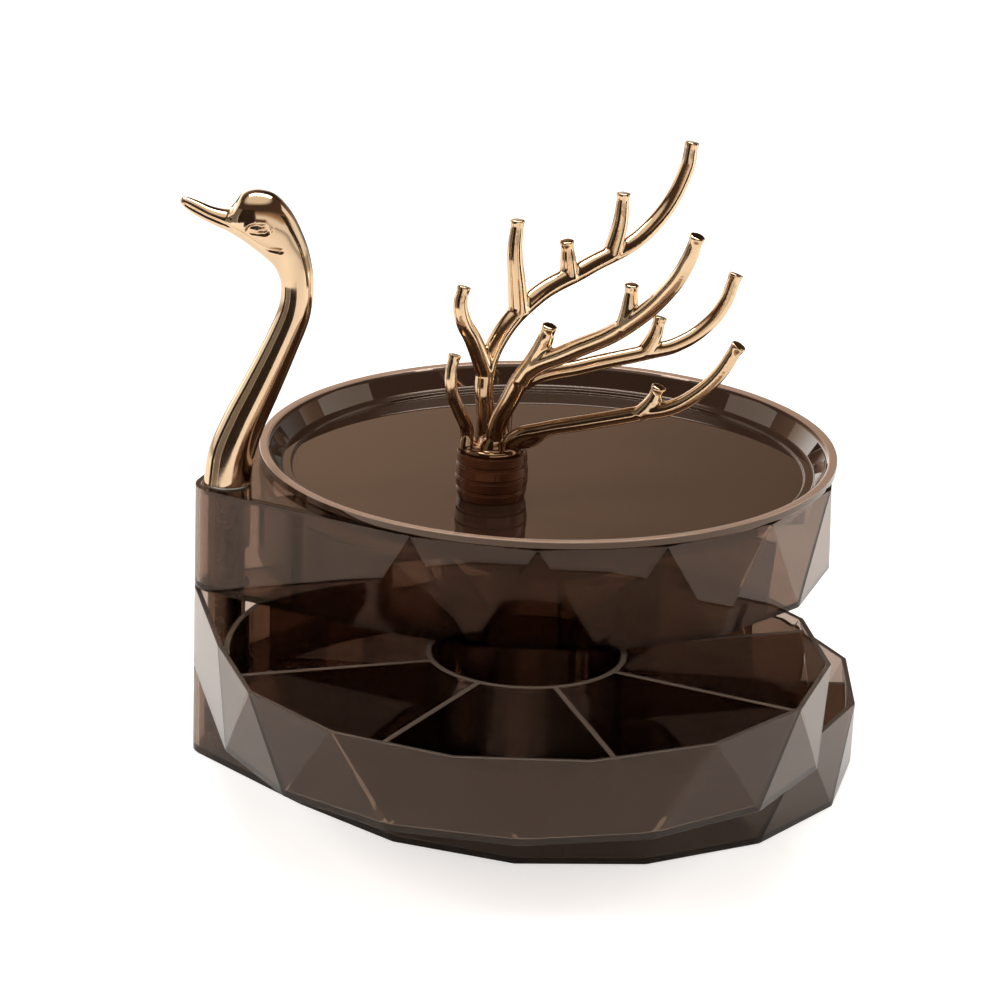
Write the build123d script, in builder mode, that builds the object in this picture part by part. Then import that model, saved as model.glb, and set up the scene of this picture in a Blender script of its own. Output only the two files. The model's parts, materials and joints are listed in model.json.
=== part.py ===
"""Jewellery organizer: three swinging faceted trays, a dished lid with branches, a swan's neck on the post.

Millimetres and degrees. The origin is under the centre of the base tray's round part, on the table.
+Z is up, and +X runs from the post to that centre.
"""

import os
from math import acos, cos, degrees, radians, sin

from build123d import *

os.makedirs("parts", exist_ok=True)

# Trays in plan: a faceted round part, two straight sides and a small round tip at the post
lid_radius = 100.0              # the round lid, which the trays are drawn round
rim_reveal = 1.0                # corners of a tray's upper edge stand out past the lid
foot_draw = 1.0                 # corners of the lower edge stand in from those of the upper
top_foot_draw = 2.0             # the top tray draws in a little more
post_gap = 15.0                 # post axis to the rim of the round part
tip_radius = 11.0
facet_angle = 25.0              # from one corner of an edge to the next
facets_each_side = 6
wall = 1.8
floor_thickness = 2.0
cut_overrun = 1.0               # how far a cut runs out past the face that it opens

# The stack, from the table up
base_height = 29.6
middle_height = 29.0
top_height = 36.2
tier_gap = 0.6                  # one washer between two trays
middle_swing_angle = -29.0      # how far the trays stand turned about the post
top_swing_angle = 19.6

# Divider inserts: a hub ring, straight ribs and a curved end wall that closes the round part
hub_radius = 33.3
rib = 1.8
rib_count = 8
top_rib_count = 6
divider_drop = 1.0              # ribs end this far under the rim
insert_clearance = 0.2          # insert to tray wall
end_wall_inset = 1.0            # end wall inside the rim's corners

# The post: a tube clamped between the base and the neck by a long bolt
sleeve_radius = 4.0
bolt_radius = 2.0
bolt_clearance = 0.2
running_clearance = 0.06        # tray bore on the tube
fixed_clearance = 0.03          # tube, insert and pegs in their seats
boss_radius = 6.5
sleeve_seat = 5.0               # depth of the tube's seat in the base and in the neck
bolt_head_radius = 3.8
bolt_head_height = 3.0
bolt_key_radius = 2.0           # hexagon socket in its head
bolt_key_depth = 1.5
bolt_end_gap = 1.0              # bolt's end to the bottom of the insert
bolt_pocket_radius = 4.4
bolt_washer_thickness = 0.8
plug_thickness = 1.2
plug_recess = 0.2
washer_radius = 8.5

# Deck plate over the top tray's tip
deck_thickness = 2.0
deck_clearance = 0.25
deck_dish_gap = 1.25            # its curved edge to the lid's dish
deck_end = 34.0                 # post axis to its two blunt ends, along the tray
deck_post_radius = 2.6
deck_post_reach = 16.0

# Lid: a round dish that stands on the top tray's rim
lid_edge = 2.8                  # height of the lid's outer edge
lid_land = 2.8                  # width of the flat round the top
lid_bevel = 1.2                 # width and drop of the bevel inside the land
lid_bevel_drop = 0.9
lid_depth = 8.0                 # lid's top to the dish floor
lid_base = 2.0                  # thickness of the dish floor
dish_inset = 7.8                # lid's edge to the foot of the sloping wall
dish_wall = 1.5
dish_step_width = 3.4
dish_step_height = 1.0
dish_gap = 0.6                  # lid's dish to the tray wall

# Stand for the branches: its place from the lid's centre, and its barrel
socket_left = 19.88
socket_front = 29.91
socket_height = 16.2
socket_foot_radius = 11.2
socket_belly_radius = 12.5
socket_top_radius = 11.9
socket_bore_radius = 8.0
socket_bore_depth = 10.2
groove_floor_radius = 11.7
groove_width = 0.9
groove_heights = (3.6, 8.0, 12.4)
screw_radius = 1.8
screw_head_radius = 3.5
screw_head_height = 1.7
screw_length = 7.0
screw_end_gap = 0.5
crown_radius = 11.0
crown_floor = 0.8
crown_lip_height = 1.0
crown_lip_width = 2.6
crown_lip_rounding = 0.8
crown_plug_length = 9.8
peg_radius = 1.6
peg_depth = 6.0
stub_radius = 1.0
stub_depth = 1.3
stem_foot = 1.5                 # a branch's straight foot over its peg
root_rise = 1.0                 # where its curve begins over its seat

# Branches: root places on the stand, planes, and radii at the root and at the end
rear_root = (-3.3, 4.5)
front_root = (0.2, -1.6)
low_rear_root = (3.9, 4.6)
low_front_root = (4.5, -4.0)
twig_root = (-9.2, -2.8)
side_root = (7.8, -5.6)
rear_angle = 37.9               # directions of the branches in plan
low_angle = 21.7
twig_angle = -140.0
rear_step = 6.0                 # each branch's plane stands off the axis by its step
rear_rise = 2.0
front_step = -0.7
front_rise = -0.2
low_rear_step = 4.0
low_rear_rise = 1.4
low_front_step = -3.8
low_front_rise = -1.3
twig_step = 5.3
twig_rise = 1.8
tall_radius = 2.5
low_rear_radius = 2.2
low_front_radius = 2.0
side_radius = 1.7
twig_radius = 1.9
fork_radius = 2.7
prong_radius = 2.8
spur_radius = 2.5
limb_end_radius = 2.3
fork_end_radius = 2.1
prong_end_radius = 2.2
twig_end_radius = 1.9
side_end_radius = 1.5
tall_swell = 0.8                # how much a long branch thickens half way
low_swell = 0.4
slim_end_radius = 2.1           # the low front branch stays slimmer
slim_spur_radius = 1.9
slim_spur_end_radius = 1.8
section_spacing = 8.5           # between the round sections that a branch is drawn through
least_span_count = 3
button_radius = 2.8             # flat ends of the branches
slim_button_radius = 2.4
button_height = 1.0

# Lines of the branches: distance out from the stand and height over the lid's floor
rear_line = (
    (-3.4, 24.0), (-3.9, 39.0), (0.8, 50.9), (16.8, 63.8),
    (39.3, 70.8), (67.0, 80.3), (83.1, 99.9), (84.9, 108.6),
)
rear_prong_line = ((12.5, 62.0), (8.8, 70.1), (7.5, 81.5), (8.4, 92.6))
rear_stub_line = ((31.5, 68.8), (30.9, 75.0), (30.1, 81.8))
rear_spur_line = ((51.2, 75.0), (53.8, 84.8), (54.7, 95.0))
rear_fork_line = ((-3.9, 43.5), (-9.6, 53.4), (-14.1, 60.9), (-15.4, 67.4), (-14.0, 72.8))
front_line = (
    (1.7, 25.5), (6.9, 36.2), (13.3, 46.8), (31.7, 58.4),
    (52.3, 70.7), (71.8, 89.2), (78.1, 99.6), (81.3, 108.1),
)
front_fork_line = ((12.6, 46.0), (18.8, 55.7), (21.5, 61.9), (22.7, 65.6))
front_spur_line = ((54.4, 72.4), (55.2, 80.0), (55.7, 86.6))
low_rear_line = (
    (4.3, 24.0), (5.2, 31.0), (11.0, 36.5), (32.0, 40.3), (57.5, 43.3),
    (67.6, 44.9), (78.6, 50.7), (85.1, 58.0), (89.2, 68.4),
)
low_rear_spur_line = ((56.5, 43.8), (59.4, 49.4), (61.2, 55.5))
low_front_line = (
    (7.3, 23.8), (18.6, 28.8), (31.6, 32.8), (54.3, 39.9),
    (63.7, 43.0), (71.7, 48.4), (79.4, 56.4), (86.3, 67.8),
)
low_front_side_line = ((14.2, 23.8), (18.5, 28.4))
low_front_spur_line = ((53.4, 39.8), (56.9, 44.5), (58.9, 49.7))
twig_line = ((11.5, 22.0), (15.2, 29.5), (18.5, 36.5), (19.2, 44.0), (17.7, 50.1))

# Swan: the front and the back of each oval section of the neck and head, then of the bill,
# as x from the post and height over the washer that the neck stands on, and the half width
neck_washer_thickness = 0.6
neck_washer_radius = 7.0        # hidden under the neck's foot
neck_insert_radius = 3.4
neck_insert_length = 12.0
neck_sections = (
    ((-8.2, 0.0), (8.0, 0.0), 7.6),
    ((-6.5, 11.8), (8.7, 7.8), 7.3),
    ((-1.6, 24.0), (11.9, 19.0), 6.8),
    ((5.4, 37.8), (17.2, 32.3), 6.1),
    ((11.9, 51.2), (22.7, 46.6), 5.6),
    ((16.2, 62.0), (27.0, 59.0), 5.4),
    ((17.0, 70.0), (28.0, 71.0), 5.4),
    ((14.8, 76.0), (26.4, 81.0), 5.8),
    ((11.2, 79.6), (23.6, 88.8), 6.6),
    ((7.4, 82.6), (20.0, 95.6), 7.6),
    ((3.8, 85.3), (14.8, 101.0), 8.0),
    ((1.0, 87.0), (8.8, 102.7), 7.6),
    ((-1.0, 88.2), (4.0, 101.6), 6.3),
    ((-2.6, 89.0), (1.2, 98.0), 4.4),
)
bill_sections = (
    ((0.2, 88.0), (3.4, 95.0), 4.4),
    ((-4.0, 89.4), (-1.6, 95.5), 4.2),
    ((-8.0, 91.4), (-6.0, 96.4), 3.6),
    ((-12.0, 93.5), (-10.2, 98.2), 3.0),
    ((-15.0, 95.5), (-13.6, 99.4), 2.4),
    ((-16.9, 97.4), (-16.0, 99.9), 1.5),
)

# Levels and places that follow from the sizes above
rim_radius = lid_radius + rim_reveal
foot_radius = rim_radius - foot_draw
top_foot_radius = rim_radius - top_foot_draw
end_wall_radius = rim_radius - end_wall_inset
dish_radius = lid_radius - dish_inset
reach = rim_radius + post_gap
post_x = -reach
middle_foot = base_height + tier_gap
middle_rim = middle_foot + middle_height
top_foot = middle_rim + tier_gap
top_rim = top_foot + top_height
deck_underside = top_rim - deck_thickness
lid_top = top_rim + lid_edge
lid_floor = lid_top - lid_depth
lid_underside = lid_floor - lid_base
neck_foot = top_rim + neck_washer_thickness
sleeve_foot = base_height - sleeve_seat
sleeve_top = neck_foot + sleeve_seat
bolt_head_foot = plug_recess + plug_thickness
bolt_seat = bolt_head_foot + bolt_head_height + bolt_washer_thickness
socket_top = lid_floor + socket_height
crown_seat = socket_top + crown_floor
crown_top = crown_seat + crown_lip_height
half_facet = facet_angle / 2
rim_inside = (rim_radius - wall) * cos(radians(half_facet))
deck_edge_radius = rim_inside - dish_gap + deck_dish_gap
side_angle = degrees(acos((tip_radius - rim_radius) / reach))
low_align = (Align.CENTER, Align.CENTER, Align.MIN)
rib_align = (Align.MIN, Align.CENTER)


def tray_plane(swing):
    """A tray's own plane: origin on the post, x towards the centre of its round part."""
    x_dir = (cos(radians(swing)), sin(radians(swing)), 0)
    return Plane(origin=(post_x, 0, 0), x_dir=x_dir, z_dir=(0, 0, 1))


base_plane = tray_plane(0)
middle_plane = tray_plane(middle_swing_angle)
top_plane = tray_plane(top_swing_angle)
lid_centre = top_plane.from_local_coords((reach, 0, 0))
lid_plane = Plane(origin=lid_centre, x_dir=(1, 0, 0), z_dir=(0, 0, 1))
socket_x = lid_centre.X - socket_left
socket_y = lid_centre.Y - socket_front
socket_plane = Plane(origin=(socket_x, socket_y, 0), x_dir=(1, 0, 0), z_dir=(0, 0, 1))


def edge_corners(radius, height, end_corner, inset):
    """Corners of one edge of a tray; the last on each half lies on the straight side."""
    if end_corner:
        turns = [facet_angle * step for step in range(facets_each_side + 1)]
    else:
        turns = [half_facet + facet_angle * step for step in range(facets_each_side)]
    side = (rim_radius - inset) / cos(radians(turns[-1] - side_angle))
    corners = []
    for turn in turns:
        distance = side if turn == turns[-1] else radius - inset
        along = reach + distance * cos(radians(turn))
        across = distance * sin(radians(turn))
        corners.append((along, across, height))
        if turn > 0:
            corners.append((along, -across, height))
    return corners


def tip_corners(height, inset):
    """Where the two straight sides touch the round tip."""
    along = (tip_radius - inset) * cos(radians(side_angle))
    across = (tip_radius - inset) * sin(radians(side_angle))
    return [(along, across, height), (along, -across, height)]


def tray_corners(foot_size, foot, rim, foot_corner, inset, above):
    """Corners of a tray's outer form, or with an inset those of the space inside it."""
    corners = edge_corners(foot_size, foot, foot_corner, inset)
    corners += edge_corners(rim_radius, rim, not foot_corner, inset)
    corners += tip_corners(foot, inset)
    corners += tip_corners(rim + above, inset)
    if above > 0:
        corners += edge_corners(rim_radius, rim + above, not foot_corner, inset)
    return corners


def upright(radius, low, high, mode=Mode.ADD):
    """A round bar on the axis of the open part's plane, between two heights."""
    with Locations((0, 0, low)):
        Cylinder(radius, high - low, align=low_align, mode=mode)


def tray_body(foot_size, foot, rim, foot_corner, boss_top):
    """Faceted walls, a flat floor, the round tip and the boss round the post."""
    seat = foot + floor_thickness
    ConvexPolyhedron(tray_corners(foot_size, foot, rim, foot_corner, 0, 0))
    upright(tip_radius, foot, rim)
    space = tray_corners(foot_size, seat, rim, foot_corner, wall, cut_overrun)
    ConvexPolyhedron(space, mode=Mode.SUBTRACT)
    upright(tip_radius - wall, seat, rim + cut_overrun, Mode.SUBTRACT)
    upright(boss_radius, foot, boss_top)


def insert_body(plane, foot_size, foot, rim, foot_corner, ribs, top):
    """Hub ring, ribs and end wall, standing on the tray's floor and trimmed to its walls."""
    seat = foot + floor_thickness
    with BuildSketch(plane.offset(seat)) as layout:
        with Locations((reach, 0)):
            Circle(end_wall_radius)
            Circle(end_wall_radius - rib, mode=Mode.SUBTRACT)
        with Locations((deck_end, 0)):
            Rectangle(2 * reach, 2 * reach, align=rib_align, mode=Mode.SUBTRACT)
        with Locations((reach, 0)):
            with PolarLocations(0, ribs):
                Rectangle(end_wall_radius - rib / 2, rib, align=rib_align)
            Circle(hub_radius)
            Circle(hub_radius - rib, mode=Mode.SUBTRACT)
    extrude(layout.sketch, amount=top - seat)
    space = tray_corners(foot_size, seat, rim, foot_corner, wall + insert_clearance, 0)
    ConvexPolyhedron(space, mode=Mode.INTERSECT)


# Base tray: it stands on the table and carries the post
with BuildPart(base_plane) as base_tray:
    tray_body(foot_radius, 0, base_height, True, base_height)
    upright(bolt_pocket_radius, 0, bolt_seat, Mode.SUBTRACT)
    upright(bolt_radius + bolt_clearance, bolt_seat, sleeve_foot, Mode.SUBTRACT)
    upright(sleeve_radius + fixed_clearance, sleeve_foot, base_height, Mode.SUBTRACT)
base_tray.part.label = "base_tray"
export_step(base_tray.part, "parts/base_tray.step")

with BuildPart(base_plane) as base_divider:
    insert_body(base_plane, foot_radius, 0, base_height, True, rib_count, base_height - divider_drop)
base_divider.part.label = "base_divider"
export_step(base_divider.part, "parts/base_divider.step")

# Middle tray: its facets carry on from those of the base, so its corners lie half a facet further round
with BuildPart(middle_plane) as middle_tray:
    tray_body(foot_radius, middle_foot, middle_rim, False, middle_rim)
    upright(sleeve_radius + running_clearance, middle_foot, middle_rim, Mode.SUBTRACT)
middle_tray.part.label = "middle_tray"
export_step(middle_tray.part, "parts/middle_tray.step")

with BuildPart(middle_plane) as middle_divider:
    insert_body(
        middle_plane, foot_radius, middle_foot, middle_rim, False, rib_count, middle_rim - divider_drop
    )
middle_divider.part.label = "middle_divider"
export_step(middle_divider.part, "parts/middle_divider.step")

# Top tray: the deepest, with posts that carry the deck over its tip
side_inner = tip_radius - wall
deck_post_across = (side_inner - deck_post_reach * cos(radians(side_angle))) / sin(radians(side_angle))
with BuildPart(top_plane) as top_tray:
    tray_body(top_foot_radius, top_foot, top_rim, True, deck_underside)
    post_across = deck_post_across - deck_post_radius
    with Locations((deck_post_reach, post_across, top_foot), (deck_post_reach, -post_across, top_foot)):
        Cylinder(deck_post_radius, deck_underside - top_foot, align=low_align)
    upright(sleeve_radius + running_clearance, top_foot, top_rim, Mode.SUBTRACT)
top_tray.part.label = "top_tray"
export_step(top_tray.part, "parts/top_tray.step")

with BuildPart(top_plane) as top_divider:
    insert_body(
        top_plane, top_foot_radius, top_foot, top_rim, True, top_rib_count, lid_underside - divider_drop
    )
top_divider.part.label = "top_divider"
export_step(top_divider.part, "parts/top_divider.step")

# Deck over the tip, level with the rim, with a hole for the post
with BuildPart(top_plane) as tip_deck:
    with BuildSketch(top_plane.offset(deck_underside)):
        Circle(tip_radius - wall - deck_clearance)
        with Locations((reach, 0)):
            Circle(rim_radius - wall - deck_clearance)
        make_hull()
        with Locations((reach, 0)):
            Circle(deck_edge_radius, mode=Mode.SUBTRACT)
        with Locations((deck_end, 0)):
            Rectangle(2 * reach, 2 * reach, align=rib_align, mode=Mode.SUBTRACT)
        Circle(sleeve_radius + bolt_clearance, mode=Mode.SUBTRACT)
    extrude(amount=deck_thickness)
tip_deck.part.label = "tip_deck"
export_step(tip_deck.part, "parts/tip_deck.step")

# Tube that the two upper trays turn on
with BuildPart(base_plane) as pivot_sleeve:
    upright(sleeve_radius, sleeve_foot, sleeve_top)
    upright(bolt_radius + bolt_clearance, sleeve_foot, sleeve_top, Mode.SUBTRACT)
pivot_sleeve.part.label = "pivot_sleeve"
export_step(pivot_sleeve.part, "parts/pivot_sleeve.step")

# Bolt from under the base up into the neck, with its washer and the plug that hides its head
with BuildPart(base_plane) as pivot_bolt:
    upright(bolt_head_radius, bolt_head_foot, bolt_head_foot + bolt_head_height)
    upright(bolt_radius, bolt_head_foot, sleeve_top + neck_insert_length - bolt_end_gap)
    with BuildSketch(base_plane.offset(bolt_head_foot)):
        RegularPolygon(bolt_key_radius, 6)
    extrude(amount=bolt_key_depth, mode=Mode.SUBTRACT)
pivot_bolt.part.label = "pivot_bolt"
export_step(pivot_bolt.part, "parts/pivot_bolt.step")

with BuildPart(base_plane) as bolt_washer:
    upright(bolt_head_radius + bolt_clearance, bolt_seat - bolt_washer_thickness, bolt_seat)
    upright(bolt_radius + bolt_clearance, 0, bolt_seat, Mode.SUBTRACT)
bolt_washer.part.label = "bolt_washer"
export_step(bolt_washer.part, "parts/bolt_washer.step")

with BuildPart(base_plane) as base_plug:
    upright(bolt_pocket_radius - fixed_clearance, plug_recess, bolt_head_foot)
base_plug.part.label = "base_plug"
export_step(base_plug.part, "parts/base_plug.step")

# Sliding washers between the tiers and under the neck
with BuildPart(base_plane) as lower_washer:
    upright(washer_radius, base_height, middle_foot)
    upright(sleeve_radius + fixed_clearance, base_height, middle_foot, Mode.SUBTRACT)
lower_washer.part.label = "lower_washer"
export_step(lower_washer.part, "parts/lower_washer.step")

with BuildPart(base_plane) as upper_washer:
    upright(washer_radius, middle_rim, top_foot)
    upright(sleeve_radius + fixed_clearance, middle_rim, top_foot, Mode.SUBTRACT)
upper_washer.part.label = "upper_washer"
export_step(upper_washer.part, "parts/upper_washer.step")

with BuildPart(base_plane) as neck_washer:
    upright(neck_washer_radius, top_rim, neck_foot)
    upright(sleeve_radius + fixed_clearance, top_rim, neck_foot, Mode.SUBTRACT)
neck_washer.part.label = "neck_washer"
export_step(neck_washer.part, "parts/neck_washer.step")

# Lid: flat land, sloping wall, narrow step and a shallow floor, all one turned profile
dish_outside = dish_radius + dish_wall
with BuildPart(lid_plane) as lid:
    with BuildSketch(Plane(origin=lid_centre, x_dir=(1, 0, 0), z_dir=(0, -1, 0))):
        with BuildLine():
            Polyline(
                (0, lid_underside),
                (dish_outside - lid_base, lid_underside),
                (dish_outside, lid_floor + dish_step_height),
                (rim_inside - dish_gap, top_rim),
                (lid_radius, top_rim),
                (lid_radius, lid_top),
                (lid_radius - lid_land, lid_top),
                (lid_radius - lid_land - lid_bevel, lid_top - lid_bevel_drop),
                (dish_radius, lid_floor + dish_step_height),
                (dish_radius - dish_step_width, lid_floor + dish_step_height),
                (dish_radius - dish_step_width, lid_floor),
                (0, lid_floor),
                close=True,
            )
        make_face()
    revolve(axis=Axis(lid_centre, (0, 0, 1)))
    with Locations((-socket_left, -socket_front, lid_underside)):
        Cylinder(screw_radius + bolt_clearance, lid_base, align=low_align, mode=Mode.SUBTRACT)
        Cone(
            screw_head_radius + fixed_clearance,
            screw_radius + bolt_clearance,
            screw_head_height,
            align=low_align,
            mode=Mode.SUBTRACT,
        )
lid.part.label = "lid"
export_step(lid.part, "parts/lid.step")

# Stand: a barrel with three grooves round it, open at the top for the crown's plug
with BuildPart(socket_plane) as tree_socket:
    with BuildSketch(Plane(origin=(socket_x, socket_y, lid_floor), x_dir=(1, 0, 0), z_dir=(0, -1, 0))):
        with BuildLine():
            ThreePointArc(
                (socket_foot_radius, 0),
                (socket_belly_radius, socket_height / 2),
                (socket_top_radius, socket_height),
            )
            Polyline(
                (socket_top_radius, socket_height),
                (socket_bore_radius, socket_height),
                (socket_bore_radius, socket_height - socket_bore_depth),
                (0, socket_height - socket_bore_depth),
                (0, 0),
                (socket_foot_radius, 0),
            )
        make_face()
        with Locations(*[(socket_belly_radius, height) for height in groove_heights]):
            Rectangle(2 * (socket_belly_radius - groove_floor_radius), groove_width, mode=Mode.SUBTRACT)
    revolve(axis=Axis((socket_x, socket_y, 0), (0, 0, 1)))
    with Locations((0, 0, lid_floor)):
        Cylinder(screw_radius, screw_length - lid_base, align=low_align, mode=Mode.SUBTRACT)
tree_socket.part.label = "tree_socket"
export_step(tree_socket.part, "parts/tree_socket.step")

# Countersunk screw that holds the stand, from under the lid
with BuildPart(socket_plane) as tree_screw:
    with Locations((0, 0, lid_underside)):
        Cone(screw_head_radius, screw_radius, screw_head_height, align=low_align)
        Cylinder(screw_radius - fixed_clearance, screw_length - screw_end_gap, align=low_align)
tree_screw.part.label = "tree_screw"
export_step(tree_screw.part, "parts/tree_screw.step")

# Crown: a shallow cup with a rounded lip and holes for the branches, and a plug under it
inner_roots = (rear_root, front_root, low_rear_root, low_front_root)
lip_roots = (twig_root, side_root)
with BuildPart(socket_plane) as tree_crown:
    upright(crown_radius, socket_top, crown_top)
    upright(crown_radius - crown_lip_width, crown_seat, crown_top, Mode.SUBTRACT)
    lip_edges = tree_crown.edges().group_by(Axis.Z)[-1]
    fillet(lip_edges, crown_lip_rounding)
    upright(socket_bore_radius - fixed_clearance, socket_top - crown_plug_length, socket_top)
    with Locations(*[(*root, crown_seat - peg_depth) for root in inner_roots]):
        Cylinder(peg_radius + fixed_clearance, peg_depth, align=low_align, mode=Mode.SUBTRACT)
    with Locations(*[(*root, crown_top - stub_depth) for root in lip_roots]):
        Cylinder(stub_radius + fixed_clearance, stub_depth, align=low_align, mode=Mode.SUBTRACT)
tree_crown.part.label = "tree_crown"
export_step(tree_crown.part, "parts/tree_crown.step")


def sloping(angle, step, rise, points):
    """Points of a branch that runs in one upright plane: distance out from the stand and height."""
    across = Vector(cos(radians(angle)), sin(radians(angle)), 0)
    start = Vector(socket_x, socket_y + step, lid_floor + rise)
    return [start + across * out + Vector(0, 0, height) for out, height in points]


def limb(points, start_radius, end_radius, swell, angle):
    """A round branch through the points, from one radius to the other and thicker half way by the swell."""
    level = (-sin(radians(angle)), cos(radians(angle)), 0)
    with BuildLine(Plane.XY):
        run = Spline(*points)
    spans = max(least_span_count, round(run.length / section_spacing))
    sections = []
    for station in range(spans + 1):
        share = station / spans
        place = Plane(origin=run @ share, x_dir=level, z_dir=run % share)
        with BuildSketch(place) as section:
            Circle(start_radius + (end_radius - start_radius) * share + 4 * swell * share * (1 - share))
        sections.append(section.sketch)
    loft(sections)


def button(points, radius, angle):
    """The flat swollen end of a branch."""
    level = (-sin(radians(angle)), cos(radians(angle)), 0)
    end = Plane(origin=points[-1], x_dir=level, z_dir=points[-1] - points[-2])
    with Locations(end):
        Cylinder(radius, button_height)


def peg(root, radius, depth, seat, stem):
    """The peg of a branch in the crown, and the foot of the branch that stands over it."""
    with Locations((socket_x + root[0], socket_y + root[1], seat - depth)):
        Cylinder(radius, depth, align=low_align)
    with Locations((socket_x + root[0], socket_y + root[1], seat)):
        Cylinder(stem, stem_foot, align=low_align)


def root_point(root, height):
    """A place above a root."""
    return Vector(socket_x + root[0], socket_y + root[1], height)


# Rear tall branch: it leans back over the lid, forks near the root and carries three prongs
rear_main = [root_point(rear_root, crown_seat + root_rise)]
rear_main += sloping(rear_angle, rear_step, rear_rise, rear_line)
rear_prong = sloping(rear_angle, rear_step, rear_rise, rear_prong_line)
rear_stub = sloping(rear_angle, rear_step, rear_rise, rear_stub_line)
rear_spur = sloping(rear_angle, rear_step, rear_rise, rear_spur_line)
rear_fork = sloping(rear_angle, rear_step, rear_rise, rear_fork_line)
with BuildPart() as rear_branch:
    peg(rear_root, peg_radius, peg_depth, crown_seat, tall_radius)
    limb(rear_main, tall_radius, limb_end_radius, tall_swell, rear_angle)
    limb(rear_prong, prong_radius, prong_end_radius, 0, rear_angle)
    limb(rear_stub, spur_radius, prong_end_radius, 0, rear_angle)
    limb(rear_spur, spur_radius, prong_end_radius, 0, rear_angle)
    limb(rear_fork, fork_radius, fork_end_radius, 0, rear_angle)
    button(rear_main, button_radius, rear_angle)
    button(rear_prong, button_radius, rear_angle)
    button(rear_stub, button_radius, rear_angle)
    button(rear_spur, button_radius, rear_angle)
    button(rear_fork, button_radius, rear_angle)
rear_branch.part.label = "rear_branch"
export_step(rear_branch.part, "parts/rear_branch.step")

# Front tall branch: the same towards the front, with one fork low down and one spur
front_main = [root_point(front_root, crown_seat + root_rise)]
front_main += sloping(-rear_angle, front_step, front_rise, front_line)
front_fork = sloping(-rear_angle, front_step, front_rise, front_fork_line)
front_spur = sloping(-rear_angle, front_step, front_rise, front_spur_line)
with BuildPart() as front_branch:
    peg(front_root, peg_radius, peg_depth, crown_seat, tall_radius)
    limb(front_main, tall_radius, limb_end_radius, tall_swell, -rear_angle)
    limb(front_fork, prong_radius, prong_end_radius, 0, -rear_angle)
    limb(front_spur, spur_radius, prong_end_radius, 0, -rear_angle)
    button(front_main, button_radius, -rear_angle)
    button(front_fork, button_radius, -rear_angle)
    button(front_spur, button_radius, -rear_angle)
front_branch.part.label = "front_branch"
export_step(front_branch.part, "parts/front_branch.step")

# Low rear branch: nearly level, then turned up at the end, with one spur
low_rear_main = [root_point(low_rear_root, crown_seat + root_rise)]
low_rear_main += sloping(low_angle, low_rear_step, low_rear_rise, low_rear_line)
low_rear_spur = sloping(low_angle, low_rear_step, low_rear_rise, low_rear_spur_line)
with BuildPart() as low_rear_branch:
    peg(low_rear_root, peg_radius, peg_depth, crown_seat, low_rear_radius)
    limb(low_rear_main, low_rear_radius, limb_end_radius, low_swell, low_angle)
    limb(low_rear_spur, spur_radius, prong_end_radius, 0, low_angle)
    button(low_rear_main, button_radius, low_angle)
    button(low_rear_spur, button_radius, low_angle)
low_rear_branch.part.label = "low_rear_branch"
export_step(low_rear_branch.part, "parts/low_rear_branch.step")

# Low front branch: its second root stands on the crown's lip
low_front_main = [root_point(low_front_root, crown_seat + root_rise)]
low_front_main += sloping(-low_angle, low_front_step, low_front_rise, low_front_line)
side_foot = crown_top + root_rise
low_front_side = [root_point(side_root, side_foot), root_point(side_root, side_foot + stem_foot)]
low_front_side += sloping(-low_angle, low_front_step, low_front_rise, low_front_side_line)
low_front_spur = sloping(-low_angle, low_front_step, low_front_rise, low_front_spur_line)
with BuildPart() as low_front_branch:
    peg(low_front_root, peg_radius, peg_depth, crown_seat, low_front_radius)
    peg(side_root, stub_radius, stub_depth, crown_top, side_radius)
    limb(low_front_main, low_front_radius, slim_end_radius, 0, -low_angle)
    limb(low_front_side, side_radius, side_end_radius, 0, -low_angle)
    limb(low_front_spur, slim_spur_radius, slim_spur_end_radius, 0, -low_angle)
    button(low_front_main, slim_button_radius, -low_angle)
    button(low_front_spur, slim_button_radius, -low_angle)
low_front_branch.part.label = "low_front_branch"
export_step(low_front_branch.part, "parts/low_front_branch.step")

# Side twig: short, on the crown's lip, leaning away from the long branches
twig_main = [root_point(twig_root, crown_top + root_rise)]
twig_main += sloping(twig_angle, twig_step, twig_rise, twig_line)
with BuildPart() as side_twig:
    peg(twig_root, stub_radius, stub_depth, crown_top, twig_radius)
    limb(twig_main, twig_radius, twig_end_radius, 0, twig_angle)
    button(twig_main, button_radius, twig_angle)
side_twig.part.label = "side_twig"
export_step(side_twig.part, "parts/side_twig.step")


def oval_loft(sections):
    """A solid through ovals, each drawn between its front and its back."""
    ovals = []
    for (front_x, front_height), (back_x, back_height), half_width in sections:
        front = Vector(post_x + front_x, 0, neck_foot + front_height)
        back = Vector(post_x + back_x, 0, neck_foot + back_height)
        along = (back - front).cross(Vector(0, 1, 0))
        with BuildSketch(Plane(origin=(front + back) / 2, x_dir=(0, 1, 0), z_dir=along)) as oval:
            Ellipse(half_width, (back - front).length / 2)
        ovals.append(oval.sketch)
    loft(ovals)


# Swan: neck and head in one run from the foot, with the bill let into the front of the head
with BuildPart() as swan_neck:
    oval_loft(neck_sections)
    oval_loft(bill_sections)
    with Locations((post_x, 0, neck_foot)):
        Cylinder(sleeve_radius + fixed_clearance, sleeve_seat, align=low_align, mode=Mode.SUBTRACT)
    with Locations((post_x, 0, sleeve_top)):
        Cylinder(neck_insert_radius, neck_insert_length, align=low_align, mode=Mode.SUBTRACT)
swan_neck.part.label = "swan_neck"
export_step(swan_neck.part, "parts/swan_neck.step")

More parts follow.
